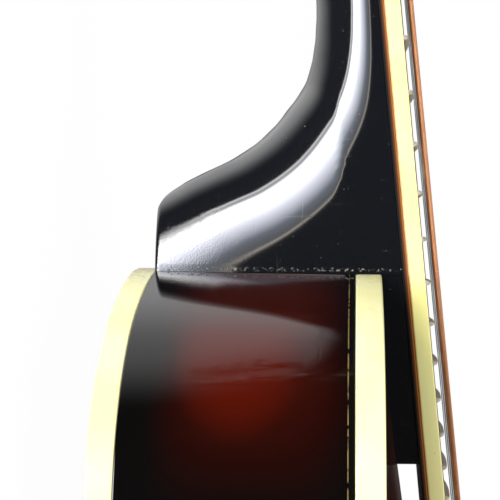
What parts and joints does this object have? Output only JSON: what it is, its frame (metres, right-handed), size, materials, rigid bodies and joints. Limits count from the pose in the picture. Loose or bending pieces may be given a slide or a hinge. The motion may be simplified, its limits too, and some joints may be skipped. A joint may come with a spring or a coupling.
{
  "type": "electric mandolin",
  "caption": "Hollow arched electric mandolin with geared tuners, floating bridge, tailpiece, one pickup and turning controls.",
  "frame": {"origin": "middle of the whole box's underside, with the instrument lying on its back", "axes": "+Z out of the face, +Y along the neck to the headstock, +X to the treble side"},
  "size_m": [0.2584, 0.6636, 0.0925],
  "materials": {
    "lacquer_black": "black gloss lacquer over maple",
    "sunburst_side": "gloss lacquer, red-brown sunburst",
    "sunburst_top": "gloss lacquer, sunburst",
    "ivory_binding": "aged ivory celluloid",
    "rosewood": "oiled",
    "inner_wood": "bare wood",
    "nickel": "polished nickel plate, aged",
    "wound_bronze": "bronze wire winding",
    "plain_steel": "plain steel wire",
    "bone": "polished bone",
    "black_plastic": "moulded black plastic",
    "cream_plastic": "cream plastic buttons",
    "ebony": "polished ebony"
  },
  "bodies": {
    "instrument": {"back_binding": "ivory_binding", "back_lining": "inner_wood", "back_plate": "sunburst_top", "bridge_base": "ebony", "fingerboard": "rosewood", "fingerboard_binding": "ivory_binding", "headstock_overlay": "ebony", "neck": "lacquer_black", "neck_block": "inner_wood", "nut": "bone", "output_jack": "nickel", "pickup": "black_plastic", "pickup_cover": "black_plastic", "rim": "sunburst_side", "strap_button": "nickel", "string_a_1": "plain_steel", "string_a_2": "plain_steel", "string_d_1": "wound_bronze", "string_d_2": "wound_bronze", "string_e_1": "plain_steel", "string_e_2": "plain_steel", "string_g_1": "wound_bronze", "string_g_2": "wound_bronze", "tail_block": "inner_wood", "tailpiece": "nickel", "tone_bar_bass": "inner_wood", "tone_bar_treble": "inner_wood", "tone_pot": "nickel", "top_binding": "ivory_binding", "top_lining": "inner_wood", "top_plate": "sunburst_top", "truss_rod": "plain_steel", "truss_rod_cover": "black_plastic", "tuner_plate_bass": "nickel", "tuner_plate_treble": "nickel", "volume_pot": "nickel"},
    "string_post_bass_1": {"string_post_bass_1": "nickel"},
    "tuner_shaft_bass_1": {"tuner_shaft_bass_1": "cream_plastic"},
    "string_post_bass_2": {"string_post_bass_2": "nickel"},
    "tuner_shaft_bass_2": {"tuner_shaft_bass_2": "cream_plastic"},
    "string_post_bass_3": {"string_post_bass_3": "nickel"},
    "tuner_shaft_bass_3": {"tuner_shaft_bass_3": "cream_plastic"},
    "string_post_bass_4": {"string_post_bass_4": "nickel"},
    "tuner_shaft_bass_4": {"tuner_shaft_bass_4": "cream_plastic"},
    "string_post_treble_1": {"string_post_treble_1": "nickel"},
    "tuner_shaft_treble_1": {"tuner_shaft_treble_1": "cream_plastic"},
    "string_post_treble_2": {"string_post_treble_2": "nickel"},
    "tuner_shaft_treble_2": {"tuner_shaft_treble_2": "cream_plastic"},
    "string_post_treble_3": {"string_post_treble_3": "nickel"},
    "tuner_shaft_treble_3": {"tuner_shaft_treble_3": "cream_plastic"},
    "string_post_treble_4": {"string_post_treble_4": "nickel"},
    "tuner_shaft_treble_4": {"tuner_shaft_treble_4": "cream_plastic"},
    "volume_control": {"volume_knob": "black_plastic", "volume_shaft": "nickel"},
    "tone_control": {"tone_knob": "black_plastic", "tone_shaft": "nickel"},
    "saddle": {"bridge_saddle": "ebony"},
    "thumbwheel_bass": {"thumbwheel_bass": "nickel"},
    "thumbwheel_treble": {"thumbwheel_treble": "nickel"},
    "tailpiece_cover": {"tailpiece_cover": "nickel"}
  },
  "joints": [
    {"name": "tuner_shaft_bass_1_turn", "type": "hinge", "parent": "instrument", "child": "tuner_shaft_bass_1", "pos_m": [-0.0195, 0.23482, 0.02904], "axis": [1, 0, 0], "continuous": true},
    {"name": "string_post_bass_1_turn", "type": "hinge", "parent": "instrument", "child": "string_post_bass_1", "pos_m": [-0.0195, 0.24697, 0.04452], "axis": [0, 0.3334, 0.9428], "continuous": true},
    {"name": "tuner_shaft_bass_2_turn", "type": "hinge", "parent": "instrument", "child": "tuner_shaft_bass_2", "pos_m": [-0.0195, 0.2565, 0.02137], "axis": [1, 0, 0], "continuous": true},
    {"name": "string_post_bass_2_turn", "type": "hinge", "parent": "instrument", "child": "string_post_bass_2", "pos_m": [-0.0195, 0.26866, 0.03685], "axis": [0, 0.3334, 0.9428], "continuous": true},
    {"name": "tuner_shaft_bass_3_turn", "type": "hinge", "parent": "instrument", "child": "tuner_shaft_bass_3", "pos_m": [-0.0195, 0.27818, 0.0137], "axis": [1, 0, 0], "continuous": true},
    {"name": "string_post_bass_3_turn", "type": "hinge", "parent": "instrument", "child": "string_post_bass_3", "pos_m": [-0.0195, 0.29034, 0.02918], "axis": [0, 0.3334, 0.9428], "continuous": true},
    {"name": "tuner_shaft_bass_4_turn", "type": "hinge", "parent": "instrument", "child": "tuner_shaft_bass_4", "pos_m": [-0.0195, 0.29987, 0.00603], "axis": [1, 0, 0], "continuous": true},
    {"name": "string_post_bass_4_turn", "type": "hinge", "parent": "instrument", "child": "string_post_bass_4", "pos_m": [-0.0195, 0.31203, 0.02152], "axis": [0, 0.3334, 0.9428], "continuous": true},
    {"name": "tuner_shaft_treble_1_turn", "type": "hinge", "parent": "instrument", "child": "tuner_shaft_treble_1", "pos_m": [0.0155, 0.23482, 0.02904], "axis": [1, 0, 0], "continuous": true},
    {"name": "string_post_treble_1_turn", "type": "hinge", "parent": "instrument", "child": "string_post_treble_1", "pos_m": [0.0155, 0.24697, 0.04452], "axis": [0, 0.3334, 0.9428], "continuous": true},
    {"name": "tuner_shaft_treble_2_turn", "type": "hinge", "parent": "instrument", "child": "tuner_shaft_treble_2", "pos_m": [0.0155, 0.2565, 0.02137], "axis": [1, 0, 0], "continuous": true},
    {"name": "string_post_treble_2_turn", "type": "hinge", "parent": "instrument", "child": "string_post_treble_2", "pos_m": [0.0155, 0.26866, 0.03685], "axis": [0, 0.3334, 0.9428], "continuous": true},
    {"name": "tuner_shaft_treble_3_turn", "type": "hinge", "parent": "instrument", "child": "tuner_shaft_treble_3", "pos_m": [0.0155, 0.27818, 0.0137], "axis": [1, 0, 0], "continuous": true},
    {"name": "string_post_treble_3_turn", "type": "hinge", "parent": "instrument", "child": "string_post_treble_3", "pos_m": [0.0155, 0.29034, 0.02918], "axis": [0, 0.3334, 0.9428], "continuous": true},
    {"name": "tuner_shaft_treble_4_turn", "type": "hinge", "parent": "instrument", "child": "tuner_shaft_treble_4", "pos_m": [0.0155, 0.29987, 0.00603], "axis": [1, 0, 0], "continuous": true},
    {"name": "string_post_treble_4_turn", "type": "hinge", "parent": "instrument", "child": "string_post_treble_4", "pos_m": [0.0155, 0.31203, 0.02152], "axis": [0, 0.3334, 0.9428], "continuous": true},
    {"name": "volume_turn", "type": "hinge", "parent": "instrument", "child": "volume_control", "pos_m": [0.074, -0.24302, 0.07056], "axis": [0.1427, -0.0961, 0.9851], "range_deg": [-150, 150]},
    {"name": "tone_turn", "type": "hinge", "parent": "instrument", "child": "tone_control", "pos_m": [0.092, -0.20702, 0.06956], "axis": [0.1884, -0.0378, 0.9814], "range_deg": [-150, 150]},
    {"name": "saddle_height", "type": "slide", "parent": "instrument", "child": "saddle", "axis": [0, 0, 1], "range_m": [-0.0012, 0.0016], "deforming": ["string_g_1", "string_g_2", "string_d_1", "string_d_2", "string_a_1", "string_a_2", "string_e_1", "string_e_2"]},
    {"name": "thumbwheel_bass_turn", "type": "hinge", "parent": "saddle", "child": "thumbwheel_bass", "pos_m": [-0.0295, -0.13713, 0.08224], "axis": [0, 0, 1], "range_deg": [-540, 720]},
    {"name": "thumbwheel_treble_turn", "type": "hinge", "parent": "saddle", "child": "thumbwheel_treble", "pos_m": [0.0255, -0.13713, 0.08224], "axis": [0, 0, 1], "range_deg": [-540, 720]},
    {"name": "tailpiece_cover_lift", "type": "slide", "parent": "instrument", "child": "tailpiece_cover", "axis": [0, 0, 1], "range_m": [0, 0.025]}
  ],
  "couplings": [
    {"joint": "string_post_bass_1_turn", "follows": "tuner_shaft_bass_1_turn", "ratio": -0.066667},
    {"joint": "string_post_bass_2_turn", "follows": "tuner_shaft_bass_2_turn", "ratio": -0.066667},
    {"joint": "string_post_bass_3_turn", "follows": "tuner_shaft_bass_3_turn", "ratio": -0.066667},
    {"joint": "string_post_bass_4_turn", "follows": "tuner_shaft_bass_4_turn", "ratio": -0.066667},
    {"joint": "string_post_treble_1_turn", "follows": "tuner_shaft_treble_1_turn", "ratio": -0.066667},
    {"joint": "string_post_treble_2_turn", "follows": "tuner_shaft_treble_2_turn", "ratio": -0.066667},
    {"joint": "string_post_treble_3_turn", "follows": "tuner_shaft_treble_3_turn", "ratio": -0.066667},
    {"joint": "string_post_treble_4_turn", "follows": "tuner_shaft_treble_4_turn", "ratio": -0.066667},
    {"joint": "thumbwheel_bass_turn", "follows": "saddle_height", "rad_per_m": 7854},
    {"joint": "thumbwheel_treble_turn", "follows": "saddle_height", "rad_per_m": 7854}
  ]
}
